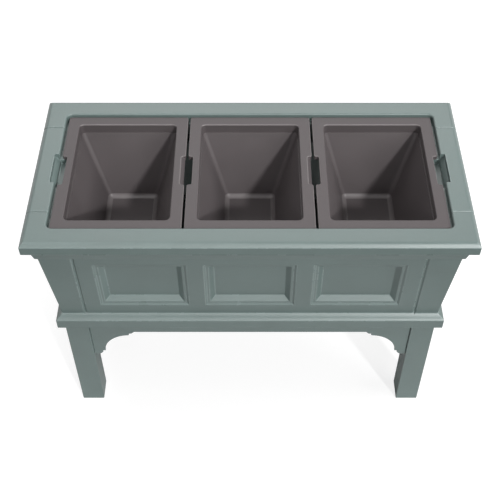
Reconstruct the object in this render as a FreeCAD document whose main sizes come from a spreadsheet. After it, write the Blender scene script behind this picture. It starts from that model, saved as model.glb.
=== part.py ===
import FreeCAD, Part
import math
import os
import Sketcher

# Raised garden bed: a legged, moulded planter box with three lift-out bins.
# Origin on the ground under the middle of the bed, X along its length, front towards -Y, Z up.

doc = FreeCAD.newDocument("raised_garden_bed")
sheet = doc.addObject("Spreadsheet::Sheet", "Sizes")
rows = []


class Size:
    """A length or angle: its number, and the expression over the sheet that gives it."""

    def __init__(self, number, text):
        self.number = number
        self.text = text

    @staticmethod
    def of(value):
        return value if isinstance(value, Size) else Size(value, repr(value))

    def __add__(self, other):
        other = Size.of(other)
        return Size(self.number + other.number, f"({self.text} + {other.text})")

    def __sub__(self, other):
        other = Size.of(other)
        return Size(self.number - other.number, f"({self.text} - {other.text})")

    def __rsub__(self, other):
        return Size.of(other) - self

    def __mul__(self, other):
        other = Size.of(other)
        return Size(self.number * other.number, f"({self.text} * {other.text})")

    def __truediv__(self, other):
        other = Size.of(other)
        return Size(self.number / other.number, f"({self.text} / {other.text})")

    def __neg__(self):
        return Size(-self.number, f"(-1 * {self.text})")

    __radd__ = __add__
    __rmul__ = __mul__


def driving(alias, number):
    """Write one driving dimension into the next row of the sheet."""
    rows.append(alias)
    sheet.set(f"A{len(rows)}", alias)
    sheet.set(f"B{len(rows)}", str(number))
    sheet.setAlias(f"B{len(rows)}", alias)
    return Size(number, f"Sizes.{alias}")


# Overall size over the rim and to the ground
bed_length = driving("bed_length", 914)
bed_depth = driving("bed_depth", 440)
bed_height = driving("bed_height", 625)

# Rim and wall section, with insets measured in from the rim's outer edge
rim_width = driving("rim_width", 48)
rim_bevel = driving("rim_bevel", 8)
rim_soft = driving("rim_soft", 10)
rim_inner_round = driving("rim_inner_round", 4)
rim_corner_round = driving("rim_corner_round", 12)
rim_drop = driving("rim_drop", 30)
soffit_width = driving("soffit_width", 12)
bed_mould_inset = driving("bed_mould_inset", 19)
bed_mould_drop = driving("bed_mould_drop", 33)
bed_mould_step = driving("bed_mould_step", 5)
wall_foot_inset = driving("wall_foot_inset", 41)
wall_foot_height = driving("wall_foot_height", 353)
wall_thickness = driving("wall_thickness", 6)
base_inset = driving("base_inset", 27)
base_foot = driving("base_foot", 315)
base_bevel = driving("base_bevel", 5)
base_fall = driving("base_fall", 2)
ledge_width = driving("ledge_width", 14)
ledge_thickness = driving("ledge_thickness", 8)

# Legs and the plugs that they slide up on
leg_side = driving("leg_side", 52)
leg_inset = driving("leg_inset", 40.5)
leg_wall = driving("leg_wall", 4)
leg_sole = driving("leg_sole", 6)
leg_round = driving("leg_round", 2)
seat_thickness = driving("seat_thickness", 6)
peg_length = driving("peg_length", 50)

# Apron and corbels
apron_inset = driving("apron_inset", 45)
apron_thickness = driving("apron_thickness", 6)
apron_foot = driving("apron_foot", 274)
apron_root = driving("apron_root", 8)
corbel_tip = driving("corbel_tip", 13.5)
corbel_step = driving("corbel_step", 6.5)
corbel_radius = driving("corbel_radius", 60)

# Recessed panels and V-grooves in the walls
panel_width = driving("panel_width", 193)
panel_height = driving("panel_height", 151)
panel_pitch = driving("panel_pitch", 229)
panel_head_gap = driving("panel_head_gap", 22)
panel_step_width = driving("panel_step_width", 4.5)
panel_step = driving("panel_step", 3)
panel_ledge = driving("panel_ledge", 5.5)
panel_bevel = driving("panel_bevel", 11)
panel_recess = driving("panel_recess", 13.5)
panel_skin = driving("panel_skin", 4)
groove_place = driving("groove_place", 93.5)
groove_width = driving("groove_width", 7)
groove_depth = driving("groove_depth", 3.5)

# Finger scoops in the end rails and notches in the bins
scoop_length = driving("scoop_length", 85)
scoop_reach = driving("scoop_reach", 10)
scoop_depth = driving("scoop_depth", 28)
scoop_slope = driving("scoop_slope", 4)
scoop_wall = driving("scoop_wall", 5)
notch_depth = driving("notch_depth", 10)

# Seams, laps, cross ties and screws
fit_gap = driving("fit_gap", 0.3)
seam_gap = driving("seam_gap", 0.4)
seam_ease = driving("seam_ease", 1)
lap_width = driving("lap_width", 18)
lap_root = driving("lap_root", 22)
lap_thickness = driving("lap_thickness", 5)
lap_margin = driving("lap_margin", 14)
tie_width = driving("tie_width", 64)
tie_height = driving("tie_height", 26)
tie_foot = driving("tie_foot", 320)
tie_head_width = driving("tie_head_width", 76)
tie_head_thickness = driving("tie_head_thickness", 7)
socket_wall = driving("socket_wall", 5)
screw_radius = driving("screw_radius", 2.1)
screw_bite = driving("screw_bite", 4)
screw_head_radius = driving("screw_head_radius", 4.5)
screw_head_height = driving("screw_head_height", 3)
screw_margin = driving("screw_margin", 25)

# Bins and drain plugs
bin_gap = driving("bin_gap", 5)
bin_end_gap = driving("bin_end_gap", 5)
bin_side_gap = driving("bin_side_gap", 2.5)
flange_recess = driving("flange_recess", 7)
flange_height = driving("flange_height", 10)
flange_ring = driving("flange_ring", 25.5)
flange_round = driving("flange_round", 4)
bin_wall = driving("bin_wall", 3)
bin_round = driving("bin_round", 10)
bin_lip = driving("bin_lip", 22)
bin_step = driving("bin_step", 1.5)
bin_depth = driving("bin_depth", 174)
bin_taper = driving("bin_taper", 53)
drain_radius = driving("drain_radius", 12)
plug_head_radius = driving("plug_head_radius", 19)
plug_head_height = driving("plug_head_height", 4)
plug_grip_length = driving("plug_grip_length", 24)
plug_grip_width = driving("plug_grip_width", 6)
plug_grip_drop = driving("plug_grip_drop", 14)

# Closeness at which two places count as one
hairline = 1e-3

# Heights and reaches that follow from them
zero = Size(0, "0")
half_length = bed_length / 2
half_depth = bed_depth / 2
fascia_foot = bed_height - rim_drop
bed_mould_foot = fascia_foot - bed_mould_drop
wall_head_height = bed_mould_foot - bed_mould_step
wall_head_inset = bed_mould_inset + bed_mould_step
wall_drop = wall_head_height - wall_foot_height
wall_slope = (wall_foot_inset - wall_head_inset) / wall_drop
wall_lean = Size(math.degrees(math.atan(wall_slope.number)), f"atan({wall_slope.text})")
wall_run = Size(
    wall_drop.number / math.cos(math.radians(wall_lean.number)),
    f"({wall_drop.text} / cos({wall_lean.text}))",
)
flange_top = bed_height - flange_recess
flange_foot = flange_top - flange_height
leg_top = wall_foot_height - seat_thickness
leg_face_x = half_length - leg_inset - leg_side
seam_y = half_depth - leg_inset - leg_side
flange_width = (bed_length - rim_width * 2 - bin_end_gap * 2 - bin_gap * 2) / 3
flange_depth = bed_depth - rim_width * 2 - bin_side_gap * 2
bin_pitch = flange_width + bin_gap
bin_floor = flange_top - bin_depth
lap_face = wall_thickness + fit_gap
lap_screws_v = [-(lap_margin + screw_margin), lap_margin + screw_margin - wall_run]
lap_screw_y = seam_y + lap_width / 2


def new_body(label):
    body = doc.addObject("PartDesign::Body", label)
    body.Label = label
    return body


def origin_feature(body, role):
    return next(item for item in body.Origin.OriginFeatures if item.Role == role)


def new_sketch(body, role, offset=(zero, zero, zero), lean=None):
    """A sketch on one of the body's origin planes, shifted by offset and leaned about its own x axis."""
    sketch = body.newObject("Sketcher::SketchObject", "Sketch")
    sketch.AttachmentSupport = (origin_feature(body, role), [""])
    sketch.MapMode = "FlatFace"
    angle = lean.number if lean else 0
    base = FreeCAD.Vector(*[step.number for step in offset])
    turn = FreeCAD.Rotation(FreeCAD.Vector(1, 0, 0), angle)
    sketch.AttachmentOffset = FreeCAD.Placement(base, turn)
    for axis, step in zip("xyz", offset):
        sketch.setExpression(f"AttachmentOffset.Base.{axis}", step.text)
    if lean:
        sketch.setExpression("AttachmentOffset.Rotation.Angle", lean.text)
    return sketch


def fix(sketch, kind, geometry, point, size):
    """Hold one coordinate of a point at a size measured from the sketch's origin."""
    number = sketch.addConstraint(Sketcher.Constraint(kind, -1, 1, geometry, point, size.number))
    sketch.setExpression(f"Constraints[{number}]", size.text)


def outline(sketch, points, arcs=None, closed=True):
    """Join the points by lines, or by arcs anticlockwise about the centres in arcs (by edge number)."""
    arcs = arcs or {}
    first = sketch.GeometryCount
    edges = len(points) if closed else len(points) - 1
    for index in range(edges):
        start = FreeCAD.Vector(points[index][0].number, points[index][1].number, 0)
        following = points[(index + 1) % len(points)]
        end = FreeCAD.Vector(following[0].number, following[1].number, 0)
        if index in arcs:
            centre = FreeCAD.Vector(arcs[index][0].number, arcs[index][1].number, 0)
            middle = (start + end) * 0.5 - centre
            middle = centre + middle.normalize() * (start - centre).Length
            sketch.addGeometry(Part.Arc(start, middle, end))
        else:
            sketch.addGeometry(Part.LineSegment(start, end))
    for index in range(edges):
        fix(sketch, "DistanceX", first + index, 1, points[index][0])
        fix(sketch, "DistanceY", first + index, 1, points[index][1])
        if index in arcs:
            fix(sketch, "DistanceX", first + index, 3, arcs[index][0])
        if closed or index < edges - 1:
            following = first + (index + 1) % edges
            sketch.addConstraint(Sketcher.Constraint("Coincident", first + index, 2, following, 1))
    if not closed:
        fix(sketch, "DistanceX", first + edges - 1, 2, points[-1][0])
        fix(sketch, "DistanceY", first + edges - 1, 2, points[-1][1])


def rectangle(sketch, left, right, low, high):
    outline(sketch, [(left, low), (right, low), (right, high), (left, high)])


def rounded_rectangle(sketch, width, depth, radius):
    """A rectangle about the sketch's origin with four equal corner arcs."""
    side = width.number / 2 - radius.number
    end = depth.number / 2 - radius.number
    up = FreeCAD.Vector(0, 0, 1)
    arcs = []
    for quarter, (x, y) in enumerate(((side, end), (-side, end), (-side, -end), (side, -end))):
        circle = Part.Circle(FreeCAD.Vector(x, y, 0), up, radius.number)
        start = quarter * math.pi / 2
        arcs.append(Part.ArcOfCircle(circle, start, start + math.pi / 2))
    first = sketch.GeometryCount
    for index, arc in enumerate(arcs):
        sketch.addGeometry(arc)
        sketch.addGeometry(Part.LineSegment(arc.EndPoint, arcs[(index + 1) % 4].StartPoint))
    for index in range(4):
        line = first + 2 * index + 1
        following = first + (2 * index + 2) % 8
        sketch.addConstraint(Sketcher.Constraint("Tangent", line - 1, 2, line, 1))
        sketch.addConstraint(Sketcher.Constraint("Tangent", line, 2, following, 1))
        sketch.addConstraint(Sketcher.Constraint("Vertical" if index % 2 else "Horizontal", line))
    for index in (2, 4, 6):
        sketch.addConstraint(Sketcher.Constraint("Equal", first, first + index))
    number = sketch.addConstraint(Sketcher.Constraint("Radius", first, radius.number))
    sketch.setExpression(f"Constraints[{number}]", radius.text)
    fix(sketch, "DistanceY", first + 1, 1, depth / 2)
    fix(sketch, "DistanceX", first + 3, 1, -(width / 2))
    fix(sketch, "DistanceY", first + 5, 1, -(depth / 2))
    fix(sketch, "DistanceX", first + 7, 1, width / 2)


def circle(sketch, x, y, radius):
    centre = FreeCAD.Vector(x.number, y.number, 0)
    ring = sketch.addGeometry(Part.Circle(centre, FreeCAD.Vector(0, 0, 1), radius.number))
    number = sketch.addConstraint(Sketcher.Constraint("Radius", ring, radius.number))
    sketch.setExpression(f"Constraints[{number}]", radius.text)
    fix(sketch, "DistanceX", ring, 3, x)
    fix(sketch, "DistanceY", ring, 3, y)


def extrude(body, kind, sketch, length, reverse=False, symmetric=False):
    """Pad a sketch along its normal, or pocket it against its normal, unless reversed."""
    feature = body.newObject(f"PartDesign::{kind}", kind)
    feature.Profile = sketch
    feature.setExpression("Length", length.text)
    feature.Reversed = reverse
    if symmetric:
        feature.SideType = "Symmetric"
    return feature


def loft(body, kind, first, last):
    feature = body.newObject(f"PartDesign::{kind}", kind)
    feature.Profile = first
    feature.Sections = [last]
    feature.Ruled = True
    return feature


def mirrored(body, role, originals):
    feature = body.newObject("PartDesign::Mirrored", "Mirrored")
    feature.Originals = originals
    feature.MirrorPlane = (origin_feature(body, role), [""])
    body.Tip = feature
    return feature


def chosen_edges(base, wanted):
    """Names of the edges of the finished base for which wanted(edge) is true."""
    doc.recompute()
    return [f"Edge{index + 1}" for index, edge in enumerate(base.Shape.Edges) if wanted(edge)]


def rounded(body, base, radius, wanted):
    """Fillet the chosen edges of the base."""
    feature = body.newObject("PartDesign::Fillet", "Fillet")
    feature.Base = (base, chosen_edges(base, wanted))
    feature.setExpression("Radius", radius.text)
    return feature


def eased(body, base, size, wanted):
    """Chamfer the chosen edges of the base."""
    feature = body.newObject("PartDesign::Chamfer", "Chamfer")
    feature.Base = (base, chosen_edges(base, wanted))
    feature.setExpression("Size", size.text)
    return feature


def same(first, second):
    return abs(first - second) < hairline


def rim_inner_corner(edge):
    """True of the upright edges where the inner faces of two rails meet."""
    box = edge.BoundBox
    upright = box.ZLength > hairline and same(box.YMin, box.YMax)
    on_long_rail = same(abs(box.YMin), (half_depth - rim_width).number)
    return upright and on_long_rail and same(box.ZMax, bed_height.number)


def rim_inner_edge(edge):
    """True of the top edges round the opening between the rails."""
    box = edge.BoundBox
    within_x = max(-box.XMin, box.XMax) < (half_length - rim_width).number + hairline
    within_y = max(-box.YMin, box.YMax) < (half_depth - rim_width).number + hairline
    return within_x and within_y and same(box.ZMin, bed_height.number)


def rim_seam_edge(edge):
    """True of the edges of a seam across the rail's top, bevel and fascia."""
    box = edge.BoundBox
    on_seam = same(box.YMin, box.YMax) and abs(abs(box.YMin) - seam_y.number) < seam_gap.number
    outside = max(-box.XMin, box.XMax) > (half_length - rim_width + rim_inner_round).number
    above = box.ZMin > fascia_foot.number - hairline and box.ZMax > fascia_foot.number + hairline
    return on_seam and outside and above


def place(body, x=zero, y=zero, turn=0):
    body.Placement = FreeCAD.Placement(
        FreeCAD.Vector(x.number, y.number, 0),
        FreeCAD.Rotation(FreeCAD.Vector(0, 0, 1), turn),
    )
    body.setExpression("Placement.Base.x", x.text)
    body.setExpression("Placement.Base.y", y.text)


def wall_inside(height):
    """Inset of the wall's inner face at a height."""
    return wall_foot_inset + (wall_foot_height - height) * wall_slope + wall_thickness


def rim_section(reach, side):
    """Points and arc of the rail, wall and base moulding in section, for a rim edge this far out."""
    bracket_foot = wall_head_height - wall_thickness
    bevel_turn = math.radians(45)
    soft_reach = rim_soft * math.tan(bevel_turn / 2)
    soft_drop = soft_reach * math.cos(bevel_turn)
    soft_edge = 3
    corners = [
        (rim_width + ledge_width, flange_foot),
        (rim_width, flange_foot),
        (rim_width, bed_height),
        (rim_bevel + soft_reach, bed_height),
        (rim_bevel - soft_drop, bed_height - soft_drop),
        (zero, bed_height - rim_bevel),
        (zero, fascia_foot),
        (soffit_width, fascia_foot),
        (bed_mould_inset, bed_mould_foot),
        (wall_head_inset, wall_head_height),
        (wall_foot_inset, wall_foot_height),
        (wall_foot_inset - base_bevel, wall_foot_height - base_bevel),
        (base_inset + base_bevel, wall_foot_height - base_bevel - base_fall),
        (base_inset, wall_foot_height - base_bevel * 2 - base_fall),
        (base_inset, base_foot),
        (leg_inset - fit_gap, base_foot),
        (leg_inset - fit_gap, leg_top),
        (wall_inside(leg_top), leg_top),
        (wall_inside(bracket_foot), bracket_foot),
        (rim_width + ledge_width, flange_foot - ledge_thickness),
    ]
    points = [((reach - inset) * side, height) for inset, height in corners]
    centre = ((reach - rim_bevel - soft_reach) * side, bed_height - rim_soft)
    if side > 0:
        points.reverse()
        soft_edge = len(points) - 2 - soft_edge
    return points, {soft_edge: centre}


def wall_sketch(body, role, reach, depth=zero):
    """A sketch on the leaning wall: origin at the wall's head, y up the slope, depth behind its face."""
    lean = math.radians(wall_lean.number)
    back = Size(depth.number * math.cos(lean), f"({depth.text} * cos({wall_lean.text}))")
    rise = Size(depth.number * math.sin(lean), f"({depth.text} * sin({wall_lean.text}))")
    place_out = reach - wall_head_inset - back
    return new_sketch(body, role, (zero, wall_head_height + rise, place_out), wall_lean)


def recessed_panel(body, role, reach, centre):
    """A panel sunk into the wall: a sloped step, a ledge, a bevel and a flat field, with its own back."""
    top = -panel_head_gap
    foot = top - panel_height
    half = panel_width / 2
    ledge_frame = panel_step_width + panel_ledge
    frames = [zero, panel_step_width, ledge_frame, ledge_frame + panel_bevel]
    depths = [zero, panel_step, panel_step, panel_recess]
    sketches = []
    for frame, depth in zip(frames, depths):
        sketch = wall_sketch(body, role, reach, depth)
        rectangle(sketch, centre - half + frame, centre + half - frame, foot + frame, top - frame)
        sketches.append(sketch)
    back = wall_sketch(body, role, reach)
    rectangle(back, centre - half, centre + half, foot, top)
    return [
        extrude(body, "Pad", back, panel_recess + panel_skin, reverse=True),
        loft(body, "SubtractiveLoft", sketches[0], sketches[1]),
        loft(body, "SubtractiveLoft", sketches[2], sketches[3]),
    ]


def apron_with_corbels(body, role, reach, tip):
    """The board under the base moulding, with a stepped and hollowed corbel against each leg."""
    step = corbel_step
    foot = apron_foot - corbel_radius - step * 4
    arc_x = tip - corbel_tip - step * 2
    arc_foot = foot + step * 2
    arc_top = arc_foot + corbel_radius
    half = [
        (tip, wall_foot_height + apron_root),
        (tip, foot),
        (tip - corbel_tip, foot),
        (tip - corbel_tip - step, foot + step),
        (tip - corbel_tip - step, arc_foot),
        (arc_x, arc_foot),
        (arc_x - corbel_radius, arc_top),
        (arc_x - corbel_radius, arc_top + step),
        (arc_x - corbel_radius - step, arc_top + step),
        (arc_x - corbel_radius - step * 2, apron_foot),
    ]
    points = half + [(-across, height) for across, height in reversed(half)]
    arc_edge = 5
    centre = arc_x - corbel_radius
    arcs = {
        arc_edge: (centre, arc_foot),
        len(points) - 2 - arc_edge: (-centre, arc_foot),
    }
    board = new_sketch(body, role, (zero, zero, reach - apron_inset))
    outline(board, points, arcs)
    web = new_sketch(body, role, (zero, zero, reach - leg_inset + wall_thickness))
    rectangle(web, -tip, tip, base_foot, leg_top)
    web_depth = apron_inset - leg_inset + wall_thickness + apron_thickness
    return [
        extrude(body, "Pad", board, apron_thickness, reverse=True),
        extrude(body, "Pad", web, web_depth, reverse=True),
    ]


def long_panel(label, turn):
    """One long side in one moulding, with the two rim corners, leg seats and sockets for the ties."""
    body = new_body(label)
    place(body, turn=turn)
    seam_end = seam_y + seam_gap / 2

    path = new_sketch(body, "XY_Plane")
    corners = [
        (-half_length, -seam_end),
        (-half_length, -half_depth),
        (half_length, -half_depth),
        (half_length, -seam_end),
    ]
    outline(path, corners, closed=False)
    section = new_sketch(body, "XZ_Plane", (zero, zero, seam_end))
    outline(section, *rim_section(half_length, -1))
    rail = body.newObject("PartDesign::AdditivePipe", "Rail")
    rail.Profile = section
    rail.Spine = (path, [])
    rail.Transition = "Right corner"
    rail = rounded(body, rail, rim_corner_round, rim_inner_corner)
    rail = rounded(body, rail, rim_inner_round, rim_inner_edge)
    eased(body, rail, seam_ease, rim_seam_edge)

    doc.recompute()
    panel = recessed_panel(body, "XZ_Plane", half_depth, -panel_pitch)
    row = body.newObject("PartDesign::LinearPattern", "PanelRow")
    row.Originals = panel
    row.Direction = (origin_feature(body, "X_Axis"), [""])
    row.setExpression("Length", (panel_pitch * 2).text)
    row.Occurrences = 3
    body.Tip = row

    apron_with_corbels(body, "XZ_Plane", half_depth, leg_face_x - fit_gap)

    groove = new_sketch(body, "XY_Plane", (zero, wall_head_inset - half_depth, wall_head_height), wall_lean)
    groove_x = half_length - groove_place
    spread = groove_width
    outline(groove, [
        (groove_x - spread, -groove_depth),
        (groove_x + spread, -groove_depth),
        (groove_x, groove_depth),
    ])

    seat = new_sketch(body, "XY_Plane", (zero, zero, leg_top))
    rectangle(seat, leg_face_x, half_length - leg_inset, leg_inset - half_depth, -seam_end)

    peg_gap = leg_wall + fit_gap
    peg = new_sketch(body, "XY_Plane", (zero, zero, leg_top))
    rectangle(
        peg,
        leg_face_x + peg_gap,
        half_length - leg_inset - peg_gap,
        leg_inset - half_depth + peg_gap,
        -(seam_y + peg_gap),
    )

    lap_pilot = wall_sketch(body, "YZ_Plane", half_length, wall_thickness + fit_gap / 2)
    for height in lap_screws_v:
        circle(lap_pilot, -lap_screw_y, height, screw_radius + fit_gap / 2)

    tie_x = bin_pitch / 2
    apron_back = apron_inset + apron_thickness - half_depth
    slot_depth = tie_head_thickness + fit_gap * 2
    head_half = tie_head_width / 2 + fit_gap
    neck_half = tie_width / 2 + fit_gap
    socket = new_sketch(body, "XY_Plane", (zero, zero, tie_foot - socket_wall))
    socket_back = apron_back + slot_depth + socket_wall
    rectangle(
        socket,
        tie_x - head_half - socket_wall,
        tie_x + head_half + socket_wall,
        apron_back - apron_thickness / 2,
        socket_back,
    )
    head_slot = new_sketch(body, "XY_Plane", (zero, zero, tie_foot))
    rectangle(head_slot, tie_x - head_half, tie_x + head_half, apron_back, apron_back + slot_depth)
    neck_slot = new_sketch(body, "XY_Plane", (zero, zero, tie_foot))
    rectangle(neck_slot, tie_x - neck_half, tie_x + neck_half, apron_back, socket_back + socket_wall)

    one_side = [
        extrude(body, "Pocket", groove, wall_run),
        extrude(body, "Pad", seat, seat_thickness),
        extrude(body, "Pad", peg, peg_length, reverse=True),
        extrude(body, "Pocket", lap_pilot, screw_bite + fit_gap, reverse=True),
        extrude(body, "Pad", socket, tie_height + socket_wall),
        extrude(body, "Pocket", head_slot, tie_height + socket_wall, reverse=True),
        extrude(body, "Pocket", neck_slot, tie_height + socket_wall, reverse=True),
    ]
    mirrored(body, "YZ_Plane", one_side)
    return body


def end_panel(label, turn):
    """One end between the long panels' corners, with the finger scoop and a lap behind each seam."""
    body = new_body(label)
    place(body, turn=turn)
    seam_end = seam_y - seam_gap / 2

    section = new_sketch(body, "XZ_Plane")
    outline(section, *rim_section(half_length, 1))
    rail = extrude(body, "Pad", section, seam_end * 2, symmetric=True)
    rail = rounded(body, rail, rim_inner_round, rim_inner_edge)
    eased(body, rail, seam_ease, rim_seam_edge)

    recessed_panel(body, "YZ_Plane", half_length, zero)
    apron_with_corbels(body, "YZ_Plane", half_length, seam_y - fit_gap)

    scoop_floor = bed_height - scoop_depth
    scoop_out = half_length - rim_width + scoop_reach
    ledge_in = half_length - rim_width - ledge_width
    bracket = new_sketch(body, "XZ_Plane")
    rectangle(bracket, ledge_in, scoop_out + scoop_wall, scoop_floor - scoop_wall, flange_foot)
    extrude(body, "Pad", bracket, scoop_length + scoop_wall * 2, symmetric=True)
    scoop = new_sketch(body, "XZ_Plane")
    outline(scoop, [
        (ledge_in - scoop_wall, scoop_floor),
        (scoop_out - scoop_slope, scoop_floor),
        (scoop_out, bed_height),
        (scoop_out, bed_height + scoop_wall),
        (ledge_in - scoop_wall, bed_height + scoop_wall),
    ])
    extrude(body, "Pocket", scoop, scoop_length, symmetric=True)

    laps = wall_sketch(body, "YZ_Plane", half_length, lap_face)
    fillers = wall_sketch(body, "YZ_Plane", half_length, wall_thickness / 2)
    holes = wall_sketch(body, "YZ_Plane", half_length, lap_face)
    low = lap_margin - wall_run
    for side in (-1, 1):
        root = (seam_end - lap_root) * side
        rim = (seam_end + lap_width) * side
        edge = seam_end * side
        rectangle(laps, root, rim, low, -lap_margin)
        rectangle(fillers, root, edge, low, -lap_margin)
        for height in lap_screws_v:
            circle(holes, lap_screw_y * side, height, screw_radius + fit_gap)
    extrude(body, "Pad", fillers, wall_thickness / 2 + fit_gap * 2, reverse=True)
    extrude(body, "Pad", laps, lap_thickness, reverse=True)
    extrude(body, "Pocket", holes, lap_thickness * 2)
    return body


def leg(label, side, turn):
    """A hollow square post with a closed sole, pushed up over its peg."""
    body = new_body(label)
    centre_x = (leg_face_x + leg_side / 2) * side
    centre_y = -(seam_y + leg_side / 2)
    facing = -1 if turn else 1
    place(body, centre_x, centre_y * facing, turn)
    post = new_sketch(body, "XY_Plane")
    rounded_rectangle(post, leg_side, leg_side, leg_round)
    extrude(body, "Pad", post, leg_top)
    hollow = new_sketch(body, "XY_Plane", (zero, zero, leg_top))
    inner = leg_side - leg_wall * 2
    rectangle(hollow, -(inner / 2), inner / 2, -(inner / 2), inner / 2)
    extrude(body, "Pocket", hollow, leg_top - leg_sole)
    return body


def cross_tie(label, side):
    """A bar that drops into a T-slot behind each apron and keeps the long panels from spreading."""
    body = new_body(label)
    place(body, bin_pitch / 2 * side)
    end_y = half_depth - apron_inset - apron_thickness - fit_gap
    neck_y = end_y - tie_head_thickness
    head = tie_head_width / 2
    neck = tie_width / 2
    quarter = [(head, end_y), (head, neck_y), (neck, neck_y)]
    right = quarter + [(across, -along) for across, along in reversed(quarter)]
    bar = new_sketch(body, "XY_Plane", (zero, zero, tie_foot))
    outline(bar, right + [(-across, along) for across, along in reversed(right)])
    extrude(body, "Pad", bar, tie_height)
    return body


def notched_outline(sketch, inset):
    """The bin's flange in plan, set in all round, with a finger notch at mid length of each side."""
    side = flange_width / 2 - inset
    end = flange_depth / 2 - inset
    notch = scoop_length / 2 + inset
    right = [
        (side, -end),
        (side, -notch),
        (side - notch_depth, -notch),
        (side - notch_depth, notch),
        (side, notch),
        (side, end),
    ]
    outline(sketch, right + [(-across, along) for across, along in reversed(right)])


def tilt(edge):
    """How far an edge runs level and how far it rises."""
    first, last = edge.Vertexes[0].Point, edge.Vertexes[-1].Point
    return math.hypot(last.x - first.x, last.y - first.y), abs(last.z - first.z)


def upright_beyond(reach):
    """A test for edges that stand parallel to Z further from the middle of the piece than this."""
    def wanted(edge):
        level, rise = tilt(edge)
        return level < hairline < rise and abs(edge.BoundBox.XMin) > reach.number
    return wanted


def leaning_from(height):
    """A test for edges that lean and start at this height."""
    def wanted(edge):
        level, rise = tilt(edge)
        return min(level, rise) > hairline and same(edge.BoundBox.ZMin, height.number)
    return wanted


def frustum(body, kind, floor, mouth, low, high):
    """A four-sided funnel between a floor and a wider mouth, each given as width and depth."""
    wedge = body.newObject(f"PartDesign::{kind}", kind)
    wedge.AttachmentSupport = (origin_feature(body, "XZ_Plane"), [""])
    wedge.MapMode = "FlatFace"
    sides = {
        "X": floor[0],
        "Z": floor[1],
        "X2": mouth[0],
        "Z2": mouth[1],
    }
    for name, length in sides.items():
        wedge.setExpression(f"{name}max", (length / 2).text)
        wedge.setExpression(f"{name}min", (-(length / 2)).text)
    wedge.setExpression("Ymax", high.text)
    wedge.setExpression("Ymin", low.text)
    return wedge


def shelled(body, base, wall, height):
    """Hollow the finished base to an even wall, open at its level face at this height."""
    doc.recompute()
    names = [
        f"Face{index + 1}"
        for index, face in enumerate(base.Shape.Faces)
        if face.BoundBox.ZLength < hairline and same(face.CenterOfMass.z, height.number)
    ]
    feature = body.newObject("PartDesign::Thickness", "Thickness")
    feature.Base = (base, names)
    feature.Reversed = True
    feature.setExpression("Value", wall.text)
    return feature


def grow_bin(label, place_x):
    """A moulded tub: a skirted flange that hangs on the ledges, an upright lip and four leaning walls."""
    body = new_body(label)
    place(body, place_x)
    opening = [flange_width - flange_ring * 2, flange_depth - flange_ring * 2]
    lip_outside = [side + bin_wall * 2 for side in opening]
    mouth = [side - bin_step * 2 for side in lip_outside]
    floor = [side - bin_taper * 2 for side in lip_outside]
    lip_foot = flange_top - bin_lip
    seat_height = bin_floor - bin_wall

    tub = frustum(body, "AdditiveWedge", floor, mouth, seat_height, lip_foot)
    tub = rounded(body, tub, bin_round + bin_wall, leaning_from(seat_height))
    shelled(body, tub, bin_wall, lip_foot)

    lip = new_sketch(body, "XY_Plane", (zero, zero, lip_foot - bin_wall))
    rounded_rectangle(lip, *lip_outside, bin_round + bin_wall)
    rounded_rectangle(lip, *opening, bin_round)
    extrude(body, "Pad", lip, bin_lip + bin_wall)
    flange = new_sketch(body, "XY_Plane", (zero, zero, flange_foot))
    notched_outline(flange, zero)
    rounded_rectangle(flange, *opening, bin_round)
    plate = extrude(body, "Pad", flange, flange_height)
    rounded(body, plate, flange_round, upright_beyond(lip_outside[0] / 2 + bin_wall))
    under = new_sketch(body, "XY_Plane", (zero, zero, flange_foot))
    notched_outline(under, bin_wall)
    rounded_rectangle(under, *lip_outside, bin_round + bin_wall)
    extrude(body, "Pocket", under, flange_height - bin_wall, reverse=True)

    drain = new_sketch(body, "XY_Plane", (zero, zero, bin_floor))
    circle(drain, zero, zero, drain_radius)
    extrude(body, "Pocket", drain, bin_wall * 2)
    return body


def drain_plug(label, place_x):
    """A push-in plug under the floor of a bin, flush inside, with a grip to pull it by."""
    body = new_body(label)
    place(body, place_x)
    seat_height = bin_floor - bin_wall
    head = new_sketch(body, "XY_Plane", (zero, zero, seat_height))
    circle(head, zero, zero, plug_head_radius)
    extrude(body, "Pad", head, plug_head_height, reverse=True)
    stem = new_sketch(body, "XY_Plane", (zero, zero, seat_height))
    circle(stem, zero, zero, drain_radius - fit_gap)
    extrude(body, "Pad", stem, bin_wall)
    grip = new_sketch(body, "XY_Plane", (zero, zero, seat_height - plug_head_height))
    rounded_rectangle(grip, plug_grip_length, plug_grip_width, plug_grip_width / 3)
    extrude(body, "Pad", grip, plug_grip_drop, reverse=True)
    return body


def lap_screws(label):
    """Separate screws through all the laps, each a shank with a plain round head."""
    body = new_body(label)
    body.AllowCompound = True
    solids = []
    for radius, length, inward in (
        (screw_radius, lap_thickness + fit_gap + screw_bite, False),
        (screw_head_radius, screw_head_height, True),
    ):
        places = wall_sketch(body, "YZ_Plane", half_length, lap_face + lap_thickness)
        for side in (-1, 1):
            for height in lap_screws_v:
                circle(places, lap_screw_y * side, height, radius)
        solids.append(extrude(body, "Pad", places, length, reverse=inward))
    mirrored(body, "YZ_Plane", solids)
    return body


doc.recompute()
sub_parts = [
    long_panel("front_panel", 0),
    long_panel("back_panel", 180),
    end_panel("right_end_panel", 0),
    end_panel("left_end_panel", 180),
    leg("front_left_leg", -1, 0),
    leg("front_right_leg", 1, 0),
    leg("back_left_leg", -1, 180),
    leg("back_right_leg", 1, 180),
    cross_tie("left_cross_tie", -1),
    cross_tie("right_cross_tie", 1),
    grow_bin("left_bin", -bin_pitch),
    grow_bin("middle_bin", zero),
    grow_bin("right_bin", bin_pitch),
    drain_plug("left_drain_plug", -bin_pitch),
    drain_plug("middle_drain_plug", zero),
    drain_plug("right_drain_plug", bin_pitch),
    lap_screws("end_panel_screws"),
]
doc.recompute()


def refuse(faults):
    if faults:
        raise RuntimeError(f"faults: {faults}")


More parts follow.
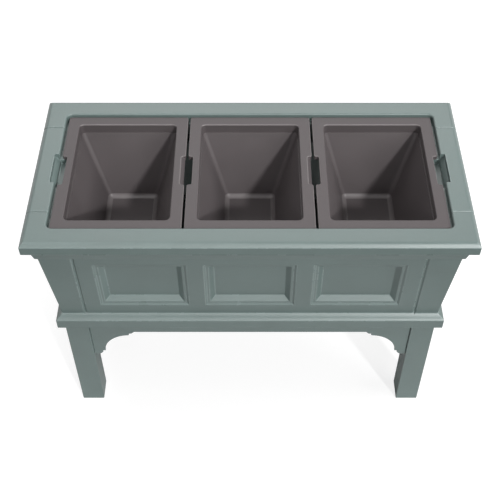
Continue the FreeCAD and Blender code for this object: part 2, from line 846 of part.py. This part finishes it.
cutters = ("PartDesign::Pocket", "PartDesign::SubtractiveLoft", "PartDesign::Thickness")
refuse([
    (item.Name, item.getStatusString())
    for item in doc.Objects
    if {"Invalid", "Error"} & set(item.State)
])
refuse([part.Label for part in sub_parts if part.Shape.isNull() or not part.Shape.isValid()])
refuse([
    f"{item.Name} cuts nothing"
    for item in doc.Objects
    if item.TypeId in cutters and item.Shape.Volume > item.BaseFeature.Shape.Volume - 1
])

os.makedirs("parts", exist_ok=True)
for part in sub_parts:
    part.Shape.exportStep(f"parts/{part.Label}.step")
    print(part.Label, len(part.Shape.Solids), round(part.Shape.Volume / 1000, 1), part.Shape.BoundBox)
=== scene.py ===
import math
import bmesh
import bpy
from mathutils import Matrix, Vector


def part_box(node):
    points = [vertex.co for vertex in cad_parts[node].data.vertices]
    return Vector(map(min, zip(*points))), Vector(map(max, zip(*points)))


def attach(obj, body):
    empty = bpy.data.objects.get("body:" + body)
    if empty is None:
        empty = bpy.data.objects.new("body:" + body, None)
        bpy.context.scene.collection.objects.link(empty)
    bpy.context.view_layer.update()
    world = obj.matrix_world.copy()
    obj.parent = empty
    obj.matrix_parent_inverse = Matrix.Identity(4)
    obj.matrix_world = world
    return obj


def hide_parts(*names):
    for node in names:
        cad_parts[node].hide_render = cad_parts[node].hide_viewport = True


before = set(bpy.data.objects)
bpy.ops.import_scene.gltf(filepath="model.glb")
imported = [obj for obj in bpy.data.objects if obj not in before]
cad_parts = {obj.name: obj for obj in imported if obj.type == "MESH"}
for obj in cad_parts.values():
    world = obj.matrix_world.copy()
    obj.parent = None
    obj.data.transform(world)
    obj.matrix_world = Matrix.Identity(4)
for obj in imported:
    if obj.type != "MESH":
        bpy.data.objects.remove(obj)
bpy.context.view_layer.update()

# Legs
# Four hollow square posts, injection moulded in sage polypropylene with a closed sole.
# Each one is pushed up over a peg under a corner of the box.
SAME_POINT = 1e-6
SHARP, CREASE = math.radians(25), math.radians(31)
LEG_EASE = 0.0012
FACE_STRENGTH = "__mod_weightednormals_faceweight"
WEAK, STRONG = -16384, 16384
FLAT_WIDTH = 0.003


def merged_copy(node):
    """The node's CAD mesh as one connected skin."""
    skin = bmesh.new()
    skin.from_mesh(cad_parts[node].data)
    bmesh.ops.remove_doubles(skin, verts=skin.verts, dist=SAME_POINT)
    return skin


def every_edge(at, edge):
    """All the sharp edges of a piece."""
    return True


def all_round(at, facing):
    """Pale on every edge: part wear, part painted highlight."""
    return 1.0


def ease(skin, width, steps, wanted=every_edge, pale_wear_and_highlight=all_round):
    """Round the wanted sharp edges, and mark on the new faces, as edge_line, how far they are painted pale:
    part wear, part painted highlight.
    """
    line = skin.loops.layers.float.get("edge_line") or skin.loops.layers.float.new("edge_line")
    strength = skin.faces.layers.int.get(FACE_STRENGTH) or skin.faces.layers.int.new(FACE_STRENGTH)
    edges = []
    skin.normal_update()
    for edge in skin.edges:
        if len(edge.link_faces) == 2 and edge.calc_face_angle(0) > SHARP:
            if wanted((edge.verts[0].co + edge.verts[1].co) / 2, edge):
                edges.append(edge)
    made = bmesh.ops.bevel(
        skin, geom=edges, offset=width, offset_type="OFFSET", segments=steps, profile=0.5,
        affect="EDGES", clamp_overlap=False, loop_slide=False,
    )
    skin.normal_update()
    for face in made["faces"]:
        face[strength] = WEAK
        for corner in face.loops:
            corner[line] = pale_wear_and_highlight(corner.vert.co, face.normal)


def in_scene(name, data):
    """A new object of the scene."""
    made = bpy.data.objects.new(name, data)
    bpy.context.scene.collection.objects.link(made)
    return made


def finished_mesh(raw):
    """The mesh of an object as its modifiers leave it; the object itself is taken away."""
    depsgraph = bpy.context.evaluated_depsgraph_get()
    mesh = bpy.data.meshes.new_from_object(raw.evaluated_get(depsgraph), depsgraph=depsgraph)
    bpy.data.objects.remove(raw)
    return mesh


def moulding(skin, name, body, material, node):
    """Turn a skin into a finished piece with flats that shade flat, which stands for its CAD node."""
    skin.normal_update()
    strength = skin.faces.layers.int[FACE_STRENGTH]
    for edge in skin.edges:
        edge.smooth = edge.calc_face_angle(math.pi) < CREASE
    for face in skin.faces:
        face.smooth = True
        longest = max(edge.calc_length() for edge in face.edges)
        if face[strength] != WEAK and face.calc_area() > FLAT_WIDTH * longest:
            face[strength] = STRONG
    mesh = bpy.data.meshes.new(name)
    skin.to_mesh(mesh)
    skin.free()
    raw = in_scene(name + "_raw", mesh)
    weighted = raw.modifiers.new("weighted", "WEIGHTED_NORMAL")
    weighted.keep_sharp = True
    weighted.use_face_influence = True
    piece = in_scene(name, finished_mesh(raw))
    piece.data.materials.append(material)
    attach(piece, body)
    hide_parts(node)


def feed(tree, node, socket, value):
    """Set an input of a node, or link it where the value is an outlet: another node and its socket."""
    if isinstance(value, tuple) and isinstance(value[0], bpy.types.Node):
        tree.links.new(value[0].outputs[value[1]], node.inputs[socket])
    else:
        node.inputs[socket].default_value = value


def node_at(tree, kind, x, y, settings=None, **inputs):
    """A new node at a place on the tree's sheet, with its settings made and its inputs fed."""
    made = tree.nodes.new(kind)
    made.location = (x, y)
    for setting, value in (settings or {}).items():
        setattr(made, setting, value)
    for socket, value in inputs.items():
        feed(tree, made, socket.replace("_", " "), value)
    return made


def worked(tree, operation, x, y, *values):
    """The outlet of a sum worked on numbers and outlets."""
    made = node_at(tree, "ShaderNodeMath", x, y, {"operation": operation})
    for slot, value in enumerate(values):
        feed(tree, made, slot, value)
    return (made, "Value")


def carried(tree, x, y, value, span, onto):
    """The outlet of a value carried from one span onto another."""
    made = node_at(
        tree, "ShaderNodeMapRange", x, y, Value=value,
        From_Min=span[0], From_Max=span[1], To_Min=onto[0], To_Max=onto[1],
    )
    return (made, "Result")


# Moulded grain: the fine pebble of the tool's face and the slow drift of pigment through the melt.
moulded_grain = bpy.data.node_groups.new("moulded_grain", "ShaderNodeTree")
for socket, value in (("Pebble Size", 900.0), ("Drift Size", 9.0)):
    made = moulded_grain.interface.new_socket(socket, in_out="INPUT", socket_type="NodeSocketFloat")
    made.default_value = value
for socket in ("Pebble", "Drift", "Speck"):
    moulded_grain.interface.new_socket(socket, in_out="OUTPUT", socket_type="NodeSocketFloat")
given = node_at(moulded_grain, "NodeGroupInput", -600, 0)
place = node_at(moulded_grain, "ShaderNodeTexCoord", -600, -200)
pebble = node_at(
    moulded_grain, "ShaderNodeTexVoronoi", -300, 200, {"feature": "SMOOTH_F1"},
    Vector=(place, "Object"), Scale=(given, "Pebble Size"), Smoothness=0.6,
)
drift = node_at(
    moulded_grain, "ShaderNodeTexNoise", -300, -100,
    Vector=(place, "Object"), Scale=(given, "Drift Size"), Detail=5.0, Roughness=0.55,
)
speck = node_at(
    moulded_grain, "ShaderNodeTexNoise", -300, -400,
    Vector=(place, "Object"), Scale=(given, "Pebble Size"), Detail=2.0, Roughness=0.7,
)
node_at(
    moulded_grain, "NodeGroupOutput", 0, 0,
    Pebble=(pebble, "Distance"), Drift=(drift, "Fac"), Speck=(speck, "Fac"),
)

# Pale edges: the rounded edges painted pale, a little unevenly; part wear, part a painted highlight where
# the edges catch the light.
NOISE_SPAN = (0.3, 0.7)
worn_and_highlit_edges = bpy.data.node_groups.new("worn_and_highlit_edges", "ShaderNodeTree")
made = worn_and_highlit_edges.interface.new_socket("Break Size", in_out="INPUT", socket_type="NodeSocketFloat")
made.default_value = 30.0
worn_and_highlit_edges.interface.new_socket("Edge", in_out="OUTPUT", socket_type="NodeSocketFloat")
given = node_at(worn_and_highlit_edges, "NodeGroupInput", -600, 0)
place = node_at(worn_and_highlit_edges, "ShaderNodeTexCoord", -600, -200)
line = node_at(worn_and_highlit_edges, "ShaderNodeAttribute", -300, 200, {"attribute_name": "edge_line"})
broken = node_at(
    worn_and_highlit_edges, "ShaderNodeTexNoise", -300, -100,
    Vector=(place, "Object"), Scale=(given, "Break Size"), Detail=3.0,
)
uneven = carried(worn_and_highlit_edges, -100, -100, (broken, "Fac"), NOISE_SPAN, (0.85, 1.0))
# The pale edge is part wear and part a painted highlight along the rounded edges.
pale_edge = worked(worn_and_highlit_edges, "MULTIPLY", 100, 0, (line, "Fac"), uneven)
node_at(worn_and_highlit_edges, "NodeGroupOutput", 300, 0, Edge=pale_edge)

DRIFT_SHADES = (0.93, 1.06)
SPECK_SHARE = 0.12
ROUGH_DRIFT = 0.05
BURNISH = -0.12
PEBBLE_HEIGHT = 0.0002


def moulded_plastic(name, colour, pale, edge_share, rough, shine, pebble_size, bump):
    """A moulded plastic: drifting pigment, a fine pebble, and edges smoother and painted paler, part wear
    and part painted highlight.
    """
    material = bpy.data.materials.new(name)
    material.use_nodes = True
    tree = material.node_tree
    shader = tree.nodes["Principled BSDF"]
    feed(tree, shader, "Specular IOR Level", shine)
    detail = node_at(
        tree, "ShaderNodeGroup", -1000, 0, {"node_tree": moulded_grain}, Pebble_Size=pebble_size,
    )
    edges = node_at(tree, "ShaderNodeGroup", -1000, -300, {"node_tree": worn_and_highlit_edges})
    drifted = node_at(tree, "ShaderNodeValToRGB", -800, 200, Fac=(detail, "Drift"))
    for stop, position, shade in zip(drifted.color_ramp.elements, NOISE_SPAN, DRIFT_SHADES):
        stop.position = position
        stop.color = (*[share * shade for share in colour], 1)
    specked = node_at(
        tree, "ShaderNodeMix", -500, 200, {"data_type": "RGBA", "blend_type": "OVERLAY"},
        Factor=SPECK_SHARE, A=(drifted, "Color"), B=(detail, "Speck"),
    )
    # Share of the pale colour on the edges: part wear, part painted highlight.
    pale_share = worked(tree, "MULTIPLY", -700, -300, (edges, "Edge"), edge_share)
    pale_edged = node_at(
        tree, "ShaderNodeMix", -250, 200, {"data_type": "RGBA"},
        Factor=pale_share, A=(specked, "Result"), B=(*pale, 1),
    )
    feed(tree, shader, "Base Color", (pale_edged, "Result"))
    satin = carried(
        tree, -500, -100, (detail, "Drift"), NOISE_SPAN, (rough - ROUGH_DRIFT, rough + ROUGH_DRIFT),
    )
    burnished = worked(tree, "MULTIPLY_ADD", -250, -100, (edges, "Edge"), BURNISH, satin)
    feed(tree, shader, "Roughness", burnished)
    relief = node_at(
        tree, "ShaderNodeBump", -250, -400,
        Strength=bump, Distance=PEBBLE_HEIGHT, Height=(detail, "Pebble"),
    )
    feed(tree, shader, "Normal", (relief, "Normal"))
    return material


# pale is the colour of the pale edges, part wear and part painted highlight.
sage_plastic = moulded_plastic(
    "sage_plastic", colour=(0.130, 0.176, 0.168), pale=(0.25, 0.315, 0.305), edge_share=0.45,
    rough=0.38, shine=0.8, pebble_size=900.0, bump=0.25,
)
for leg in ("front_left_leg", "front_right_leg", "back_left_leg", "back_right_leg"):
    post = merged_copy(leg)
    # The pale edges of the legs are part wear, part painted highlight.
    ease(post, LEG_EASE, steps=2)
    moulding(post, leg + "_post", "planter", sage_plastic, leg)

# Front and back panels
# Long one-piece mouldings in the same sage plastic that turn the corners, with the bevelled
# rim rail, the leaning wall with three recessed panels, the base moulding, apron and corbels.
PANEL_EASE = 0.0013
SEAM, SEAM_CLEAR = 0.1275, 0.0018
RIM_FOOT, RIM_FOOT_EASE = 0.595, 0.003
RIM_SIDES = (0.452, 0.215)
LEVEL_CLEAR = 0.0004
FRAME_LEVELS = (0.37, 0.565)
AWAY = -0.2


def outside_edge(at, edge):
    """Any edge but those of the close seam between two walls; in the rail it opens as a small groove."""
    across = edge.verts[0].co.y * edge.verts[1].co.y < 0
    in_seam = not across and all(abs(abs(corner.co.y) - SEAM) < SEAM_CLEAR for corner in edge.verts)
    return not in_seam or at.z > RIM_FOOT + RIM_FOOT_EASE


def lies_level(edge, height):
    """Whether an edge runs level at a height."""
    return all(abs(corner.co.z - height) < LEVEL_CLEAR for corner in edge.verts)


def at_rim_foot(at, edge):
    """The lower outside edge of the rim rail."""
    outside = abs(at.x) > RIM_SIDES[0] or abs(at.y) > RIM_SIDES[1]
    return lies_level(edge, RIM_FOOT) and outside and outside_edge(at, edge)


def pale_toward_light(at, facing):
    """Pale everywhere, as wear and painted highlight; in the wall only on edges that face up or to the
    right, toward the key light, as a painted highlight.
    """
    in_wall = FRAME_LEVELS[0] < at.z < FRAME_LEVELS[1]
    return float(not in_wall or (facing.x > AWAY and facing.z > AWAY))


for side in ("front", "back"):
    panel = merged_copy(side + "_panel")
    ease(panel, RIM_FOOT_EASE, steps=3, wanted=at_rim_foot)
    # In the wall, the pale edge lines are painted highlights on the edges that face the light.
    ease(panel, PANEL_EASE, steps=2, wanted=outside_edge, pale_wear_and_highlight=pale_toward_light)
    moulding(panel, side + "_long_panel", "planter", sage_plastic, side + "_panel")

# End panels
# The short sides between the corners of the long panels, with a finger scoop in the rail.
# A lap behind each seam is screwed to the corner of the long panel.
SCOOP_BACK = (0.4145, 0.4195)
SCOOP_HALF = 0.043
DROP_LEVEL, DROP_OUT = 0.6165, 0.4188
SLOPE_LEVEL, SLOPE_OUT = 0.6065, 0.4100
CUT_CLEAR = 0.0005


def in_scoop_back(corner, way):
    """Whether a corner lies on the back wall of the scoop."""
    at = corner.co
    return SCOOP_BACK[0] < at.x * way < SCOOP_BACK[1] and abs(at.y) < SCOOP_HALF and at.z > RIM_FOOT


for side, way in (("left", -1), ("right", 1)):
    panel = merged_copy(side + "_end_panel")
    # The back of the scoop drops, then slopes in, which leads the fingers down behind the flange.
    for level in (DROP_LEVEL, SLOPE_LEVEL):
        faces = [face for face in panel.faces if any(in_scoop_back(corner, way) for corner in face.verts)]
        edges = list(dict.fromkeys(edge for face in faces for edge in face.edges))
        corners = list(dict.fromkeys(corner for edge in edges for corner in edge.verts))
        bmesh.ops.bisect_plane(
            panel, geom=faces + edges + corners, dist=SAME_POINT, plane_co=(0, 0, level), plane_no=(0, 0, 1),
        )
    for corner in panel.verts:
        if in_scoop_back(corner, way) and corner.co.z < DROP_LEVEL + CUT_CLEAR:
            corner.co.x = way * (DROP_OUT if corner.co.z > DROP_LEVEL - CUT_CLEAR else SLOPE_OUT)
    ease(panel, RIM_FOOT_EASE, steps=3, wanted=at_rim_foot)
    # In the wall, the pale edge lines are painted highlights on the edges that face the light.
    ease(panel, PANEL_EASE, steps=2, wanted=outside_edge, pale_wear_and_highlight=pale_toward_light)
    moulding(panel, side + "_short_panel", "planter", sage_plastic, side + "_end_panel")

# Cross ties
# Two plain bars in the same sage plastic, whose T-shaped ends drop into slots behind the aprons.
# They keep the long sides from spreading under the weight of wet soil.
for side in ("left", "right"):
    bar = merged_copy(side + "_cross_tie")
    ease(bar, PANEL_EASE, steps=2)
    moulding(bar, side + "_tie_bar", "planter", sage_plastic, side + "_cross_tie")

# Grow bins
# Three lift-out tubs in matt taupe polypropylene, with a skirted flange that hangs on the ledges,
# an upright lip and four leaning walls that run into the floor with a soft radius.
BIN_FLOOR, FLANGE_TOP = 0.444, 0.618
MOUTH_HALF, MOUTH_CLEAR = (0.1075, 0.144), 0.0005
LIP_WIDTH = 0.006
FLOOR_EASE, MOUTH_EASE, FLANGE_EASE = 0.008, 0.0025, 0.0014
DRAIN_CLEAR = 0.02
MOUTH_BACK = MOUTH_HALF[1] - 0.003
NOTCH_LOW, NOTCH_HALF = 0.608, 0.0435
NOTCH_BACK = (0.002, 0.011)
NOTCH_SLOPE = 0.8

taupe_plastic = moulded_plastic(
    "taupe_plastic", colour=(0.092, 0.080, 0.082), pale=(0.25, 0.23, 0.23), edge_share=0.45,
    rough=0.52, shine=0.45, pebble_size=900.0, bump=0.25,
)


def highlight_at_mouth_back(at, facing):
    """Painted highlight on the back edge of the mouth only, the edge that faces the front lights."""
    return float(at.y > MOUTH_BACK)


def grow_bin(side):
    """One bin, with its floor, mouth and flange rounded."""
    low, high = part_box(side + "_bin")
    middle = (low[0] + high[0]) / 2

    def at_floor(at, edge):
        return lies_level(edge, BIN_FLOOR) and math.hypot(at.x - middle, at.y) > DRAIN_CLEAR

    def at_mouth(at, edge):
        within_x = abs(at.x - middle) < MOUTH_HALF[0] + MOUTH_CLEAR
        within_y = abs(at.y) < MOUTH_HALF[1] + MOUTH_CLEAR
        return lies_level(edge, FLANGE_TOP) and within_x and within_y

    def at_flange(at, edge):
        past_x = abs(at.x - middle) > MOUTH_HALF[0] + LIP_WIDTH
        past_y = abs(at.y) > MOUTH_HALF[1] + LIP_WIDTH
        return (past_x or past_y) and at.z > FLANGE_TOP - LEVEL_CLEAR

    tub = merged_copy(side + "_bin")
    if side != "right":
        # The notch on the right of a bin slopes down to the gap, so that fingers slide under the flange.
        for corner in tub.verts:
            in_notch = abs(corner.co.z - NOTCH_LOW) < LEVEL_CLEAR and abs(corner.co.y) < NOTCH_HALF
            into = high[0] - corner.co.x
            if in_notch and NOTCH_BACK[0] < into < NOTCH_BACK[1]:
                corner.co.x = high[0] - into * (1 - NOTCH_SLOPE)
    # The pale on these rounded edges is part wear, part painted highlight; at the mouth only the back edge
    # is paled, as a painted highlight.
    ease(tub, FLOOR_EASE, steps=6, wanted=at_floor)
    ease(tub, MOUTH_EASE, steps=3, wanted=at_mouth, pale_wear_and_highlight=highlight_at_mouth_back)
    ease(tub, FLANGE_EASE, steps=3, wanted=at_flange)
    moulding(tub, side + "_grow_bin", side + "_bin", taupe_plastic, side + "_bin")


for side in ("left", "middle", "right"):
    grow_bin(side)

# Drain plugs
# Soft rubber plugs pushed up into the drain hole of each bin from below, with a grip to pull.
# They are moulded in one piece, in a dark grey with a fine matt face.
PLUG_EASE = 0.0007
plug_rubber = moulded_plastic(
    "plug_rubber", colour=(0.034, 0.031, 0.031), pale=(0.06, 0.056, 0.056), edge_share=0.5,
    rough=0.75, shine=0.4, pebble_size=1400.0, bump=0.3,
)
for side in ("left", "middle", "right"):
    drain_plug = side + "_drain_plug"
    plug = merged_copy(drain_plug)
    ease(plug, PLUG_EASE, steps=2)
    moulding(plug, side + "_rubber_plug", drain_plug, plug_rubber, drain_plug)

# Lap screws
# Zinc plated pan-head screws with a cross recess, driven from inside through the laps of the
# end panels into the corners of the long panels.
HEAD_HEIGHT = 0.003
LEAN = math.radians(4.764)
ZINC_DARK, ZINC_PALE = (0.42, 0.43, 0.44, 1), (0.66, 0.66, 0.64, 1)
ZINC_ROUGH = (0.25, 0.5)
SCREW_CREASE = math.radians(40)
TURN_SEED = 7

screw_steel = bpy.data.materials.new("screw_steel")
screw_steel.use_nodes = True
tree = screw_steel.node_tree
shader = tree.nodes["Principled BSDF"]
feed(tree, shader, "Metallic", 1.0)
detail = node_at(
    tree, "ShaderNodeGroup", -700, 0, {"node_tree": moulded_grain}, Pebble_Size=2500.0, Drift_Size=260.0,
)
zinc = node_at(tree, "ShaderNodeValToRGB", -400, 200, Fac=(detail, "Drift"))
for stop, colour in zip(zinc.color_ramp.elements, (ZINC_DARK, ZINC_PALE)):
    stop.color = colour
feed(tree, shader, "Base Color", (zinc, "Color"))
feed(tree, shader, "Roughness", carried(tree, -400, -100, (detail, "Speck"), (0.0, 1.0), ZINC_ROUGH))

# Each CAD screw gives one seat: the foot of its head, and the way the head faces.
skin = merged_copy("end_panel_screws")
seats, seen = [], set()
for first in skin.verts:
    if first in seen:
        continue
    screw = [first]
    seen.add(first)
    # The list grows as it is walked, until all the corners of this screw are in it.
    for corner in screw:
        joined = [edge.other_vert(corner) for edge in corner.link_edges]
        screw += [other for other in joined if other not in seen]
        seen.update(joined)
    centre = sum((corner.co for corner in screw), Vector()) / len(screw)
    out = 1 if centre.x > 0 else -1
    aim = Vector((-out * math.cos(LEAN), 0, math.sin(LEAN)))
    tip = max((corner.co - centre).dot(aim) for corner in screw)
    seats.append((centre + aim * (tip - HEAD_HEIGHT), aim))
skin.free()

screwing = bpy.data.node_groups.new("lap_screws", "GeometryNodeTree")
screwing.interface.new_socket("Geometry", in_out="INPUT", socket_type="NodeSocketGeometry")
sizes = {}
for socket, kind, value in (
    ("Head Radius", "NodeSocketFloat", 0.0045),
    ("Head Height", "NodeSocketFloat", HEAD_HEIGHT),
    ("Recess Length", "NodeSocketFloat", 0.0050),
    ("Recess Width", "NodeSocketFloat", 0.0011),
    ("Recess Depth", "NodeSocketFloat", 0.0016),
    ("Shank Radius", "NodeSocketFloat", 0.0021),
    ("Shank Length", "NodeSocketFloat", 0.0093),
    ("Turn Seed", "NodeSocketInt", TURN_SEED),
    ("Steel", "NodeSocketMaterial", screw_steel),
):
    made = screwing.interface.new_socket(socket, in_out="INPUT", socket_type=kind)
    sizes[made.identifier] = value
screwing.interface.new_socket("Geometry", in_out="OUTPUT", socket_type="NodeSocketGeometry")


def sized(x, y, z, at_x, at_y):
    """The outlet of three sizes as one vector."""
    return (node_at(screwing, "ShaderNodeCombineXYZ", at_x, at_y, X=x, Y=y, Z=z), "Vector")


given = node_at(screwing, "NodeGroupInput", -1600, 0)
radius, height = (given, "Head Radius"), (given, "Head Height")
arm, gap = (given, "Recess Length"), (given, "Recess Width")
ball = node_at(screwing, "GeometryNodeMeshUVSphere", -1200, 400, Segments=24, Rings=12, Radius=1.0)
dome = node_at(
    screwing, "GeometryNodeTransform", -900, 400,
    Geometry=(ball, "Mesh"), Scale=sized(radius, radius, height, -1100, 250),
)
# The ball is cut off level at the foot of the head, and the two arms of the recess are cut in its top.
deep = worked(screwing, "MULTIPLY", -1400, 0, (given, "Recess Depth"), 2.0)
wide = worked(screwing, "MULTIPLY", -1400, -150, radius, 4.0)
tall = worked(screwing, "MULTIPLY", -1400, -300, height, 2.0)
under = worked(screwing, "MULTIPLY", -1400, -450, height, -1.0)
cutters = []
for size, lift in (((wide, wide, tall), under), ((arm, gap, deep), height), ((gap, arm, deep), height)):
    row = -200 * len(cutters)
    block = node_at(screwing, "GeometryNodeMeshCube", -1000, row, Size=sized(*size, -1200, row))
    cutters.append(node_at(
        screwing, "GeometryNodeTransform", -800, row,
        Geometry=(block, "Mesh"), Translation=sized(0.0, 0.0, lift, -1000, row - 100),
    ))
head = node_at(
    screwing, "GeometryNodeMeshBoolean", -500, 300, {"operation": "DIFFERENCE"}, Mesh_1=(dome, "Geometry"),
)
for cutter in cutters:
    feed(screwing, head, "Mesh 2", (cutter, "Geometry"))
rod = node_at(
    screwing, "GeometryNodeMeshCylinder", -800, -800,
    Vertices=14, Radius=(given, "Shank Radius"), Depth=(given, "Shank Length"),
)
drop = worked(screwing, "MULTIPLY", -1000, -900, (given, "Shank Length"), -0.5)
shank = node_at(
    screwing, "GeometryNodeTransform", -600, -800,
    Geometry=(rod, "Mesh"), Translation=sized(0.0, 0.0, drop, -800, -1000),
)
whole = node_at(screwing, "GeometryNodeJoinGeometry", -300, 0, Geometry=(head, "Mesh"))
feed(screwing, whole, "Geometry", (shank, "Geometry"))
# Each screw faces its own way, and its recess stops at a turn of its own.
faced = node_at(
    screwing, "GeometryNodeInputNamedAttribute", -700, -1200, {"data_type": "FLOAT_VECTOR"}, Name="aim",
)
facing = node_at(
    screwing, "FunctionNodeAlignRotationToVector", -500, -1200, {"axis": "Z"}, Vector=(faced, "Attribute"),
)
spin = node_at(
    screwing, "FunctionNodeRandomValue", -700, -1400, {"data_type": "FLOAT"},
    Max=2 * math.pi, Seed=(given, "Turn Seed"),
)
turn = node_at(
    screwing, "FunctionNodeAxisAngleToRotation", -500, -1400, Axis=(0, 0, 1), Angle=(spin, "Value"),
)
driven = node_at(
    screwing, "FunctionNodeRotateRotation", -300, -1200, {"rotation_space": "LOCAL"},
    Rotation=(facing, "Rotation"), Rotate_By=(turn, "Rotation"),
)
placed = node_at(
    screwing, "GeometryNodeInstanceOnPoints", -100, 0,
    Points=(given, "Geometry"), Instance=(whole, "Geometry"), Rotation=(driven, "Rotation"),
)
real = node_at(screwing, "GeometryNodeRealizeInstances", 100, 0, Geometry=(placed, "Instances"))
plated = node_at(
    screwing, "GeometryNodeSetMaterial", 300, 0, Geometry=(real, "Geometry"), Material=(given, "Steel"),
)
node_at(screwing, "NodeGroupOutput", 500, 0, Geometry=(plated, "Geometry"))

seat_mesh = bpy.data.meshes.new("lap_screw_seats")
seat_mesh.from_pydata([seat for seat, _ in seats], [], [])
aims = seat_mesh.attributes.new("aim", "FLOAT_VECTOR", "POINT")
for slot, (_, aim) in enumerate(seats):
    aims.data[slot].vector = aim
seat_points = in_scene("lap_screw_seats", seat_mesh)
maker = seat_points.modifiers.new("lap_screws", "NODES")
maker.node_group = screwing
for identifier, value in sizes.items():
    maker[identifier] = value
screw_mesh = finished_mesh(seat_points)
screw_mesh.name = "lap_screws"
screw_mesh.shade_smooth()
screw_mesh.set_sharp_from_angle(angle=SCREW_CREASE)
lap_screws = in_scene("lap_screws", screw_mesh)
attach(lap_screws, "planter")
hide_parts("end_panel_screws")

# Floor, light and camera
# A pale studio floor that runs out to white and throws light up near the bed, a firm key light
# from the front right, soft boxes on four sides, and a camera in front and well above.
FLOOR_HALF = 8.0
FLOOR_GREY = (0.28, 0.28, 0.28, 1)
FORE_SHIFT, FORE_SCALE = (0, 0.35, 0), (0.6, 1, 1)
BOUNCE_REACH, BOUNCE = (0.3, 0.5), (0.72, 0.15)
WHITE_REACH, WHITE = (0.35, 0.7), (0.78, 0.96)
MIRRORED_REACH = (1.2, 1.6)
KEY_FROM = Vector((0.40, -0.70, 0.59))
KEY_LIGHT, KEY_SPREAD = 2.05, math.radians(4)
BOX_AIM = Vector((0, 0, 0.6))
BOXES = (
    ("right_box", Vector((2.6, -0.7, 2.4)), (2.1, 1.5), 52.0),
    ("front_box", Vector((0, -2.68, 2.28)), (3.2, 0.6), 19.0),
    ("back_box", Vector((0, 1.68, 2.2)), (2.2, 0.9), 13.0),
    ("top_box", Vector((-0.8, -0.24, 2.75)), (1.0, 1.0), 10.0),
)
FILL_LIGHT = 0.06
SENSOR, LENS = 36, 66.45
CAMERA_AT, CAMERA_TILT = (0, -1.4125, 1.9886), math.radians(40.91)


def shown_rays(tree, mirrored=1.0):
    """1 for the rays that show a surface to the camera, straight or mirrored, and 0 for light."""
    rays = node_at(tree, "ShaderNodeLightPath", -1400, 300)
    clear = worked(tree, "MAXIMUM", -1200, 300, (rays, "Is Glossy Ray"), (rays, "Is Transmission Ray"))
    share = worked(tree, "MULTIPLY", -1000, 300, clear, mirrored)
    return worked(tree, "MAXIMUM", -800, 300, (rays, "Is Camera Ray"), share)


paper = bpy.data.materials.new("floor_paper")
paper.use_nodes = True
tree = paper.node_tree
tree.nodes.remove(tree.nodes["Principled BSDF"])
place = node_at(tree, "ShaderNodeTexCoord", -1200, -300)
fore = node_at(
    tree, "ShaderNodeMapping", -1200, -150,
    Vector=(place, "Object"), Location=FORE_SHIFT, Scale=FORE_SCALE,
)
ahead = node_at(tree, "ShaderNodeVectorMath", -1000, -150, {"operation": "LENGTH"}, Vector=(fore, "Vector"))
reach = node_at(tree, "ShaderNodeVectorMath", -1000, -450, {"operation": "LENGTH"}, Vector=(place, "Object"))
bounce = carried(tree, -800, -300, (ahead, "Value"), BOUNCE_REACH, BOUNCE)
white = carried(tree, -800, -450, (reach, "Value"), WHITE_REACH, WHITE)
mirrored = carried(tree, -800, -600, (reach, "Value"), MIRRORED_REACH, (0.0, 1.0))
lit = node_at(tree, "ShaderNodeBsdfDiffuse", -400, 0, Color=FLOOR_GREY)
glow = node_at(tree, "ShaderNodeEmission", -400, -150, Strength=white)
dim = node_at(tree, "ShaderNodeBsdfDiffuse", -400, -300, Color=bounce)
bright = node_at(tree, "ShaderNodeAddShader", -200, -50)
feed(tree, bright, 0, (lit, "BSDF"))
feed(tree, bright, 1, (glow, "Emission"))
mixed = node_at(tree, "ShaderNodeMixShader", 0, 0, Fac=shown_rays(tree, mirrored))
feed(tree, mixed, 1, (dim, "BSDF"))
feed(tree, mixed, 2, (bright, "Shader"))
feed(tree, tree.nodes["Material Output"], "Surface", (mixed, "Shader"))

floor_mesh = bpy.data.meshes.new("studio_floor")
floor_corners = [(x * FLOOR_HALF, y * FLOOR_HALF, 0) for x, y in ((-1, -1), (1, -1), (1, 1), (-1, 1))]
floor_mesh.from_pydata(floor_corners, [], [(0, 1, 2, 3)])
floor_mesh.materials.append(paper)
floor = in_scene("studio_floor", floor_mesh)

key = bpy.data.lights.new("key_light", "SUN")
key.energy = KEY_LIGHT
key.angle = KEY_SPREAD
in_scene("key_light", key).rotation_euler = KEY_FROM.to_track_quat("Z", "Y").to_euler()
for name, at, size, power in BOXES:
    soft_box = bpy.data.lights.new(name, "AREA")
    soft_box.shape = "RECTANGLE"
    soft_box.size, soft_box.size_y = size
    soft_box.energy = power
    box_holder = in_scene(name, soft_box)
    box_holder.location = at
    box_holder.rotation_euler = (at - BOX_AIM).to_track_quat("Z", "Y").to_euler()
    box_holder.visible_camera = False

studio = bpy.data.worlds.new("studio")
bpy.context.scene.world = studio
studio.use_nodes = True
tree = studio.node_tree
level = carried(tree, -300, 200, shown_rays(tree), (0.0, 1.0), (FILL_LIGHT, 1.0))
feed(tree, tree.nodes["Background"], "Color", (1, 1, 1, 1))
feed(tree, tree.nodes["Background"], "Strength", level)

lens = bpy.data.cameras.new("camera")
lens.sensor_width = SENSOR
lens.lens = LENS
camera = in_scene("camera", lens)
camera.location = CAMERA_AT
camera.rotation_euler = (CAMERA_TILT, 0, 0)
bpy.context.scene.camera = camera
bpy.context.scene.view_settings.view_transform = "Standard"
